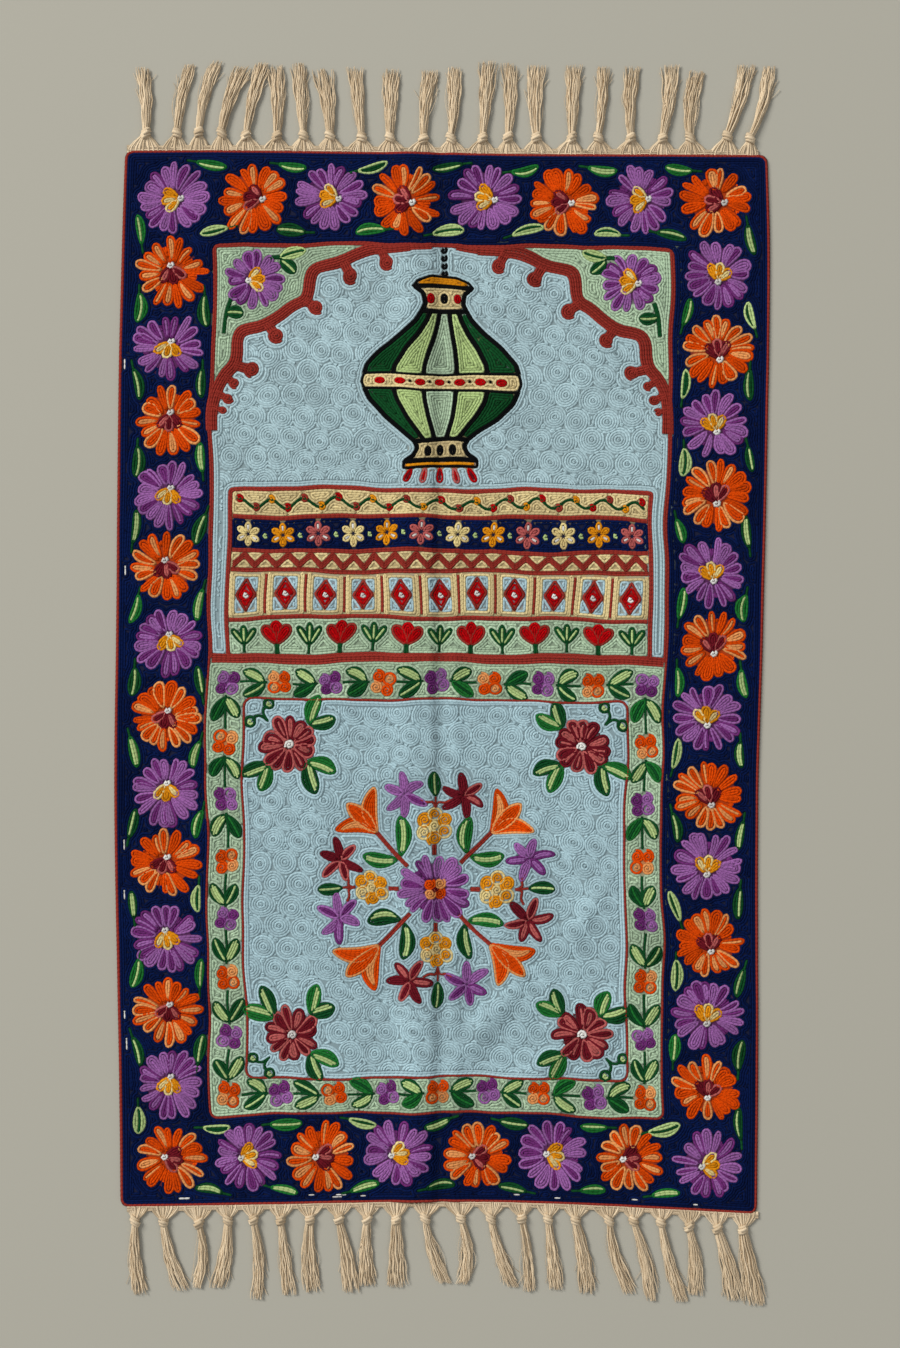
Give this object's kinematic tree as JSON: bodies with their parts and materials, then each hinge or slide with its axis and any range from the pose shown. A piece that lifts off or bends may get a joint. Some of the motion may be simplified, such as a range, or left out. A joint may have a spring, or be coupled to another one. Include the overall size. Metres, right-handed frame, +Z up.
{
  "type": "prayer mat",
  "caption": "Flat wool-embroidered prayer mat with a lamp niche, a flower border and a knotted cotton fringe at both ends.",
  "frame": {"origin": "middle of the whole mat's box, on the floor that the mat lies on", "axes": "+X across the mat to the right, +Y along it to the head end, where the niche's arch points, +Z up"},
  "size_m": [0.7254, 1.3682, 0.0076],
  "materials": {
    "embroidered_wool": "matte chain-stitched wool, sky blue, mint green and navy with brick red, orange and purple motifs",
    "fringe_cotton": "matte off-white cotton yarn, knotted and left loose"
  },
  "bodies": {
    "root": {"mat_cloth": "embroidered_wool", "fringe_head": "fringe_cotton", "fringe_foot": "fringe_cotton"}
  },
  "joints": []
}
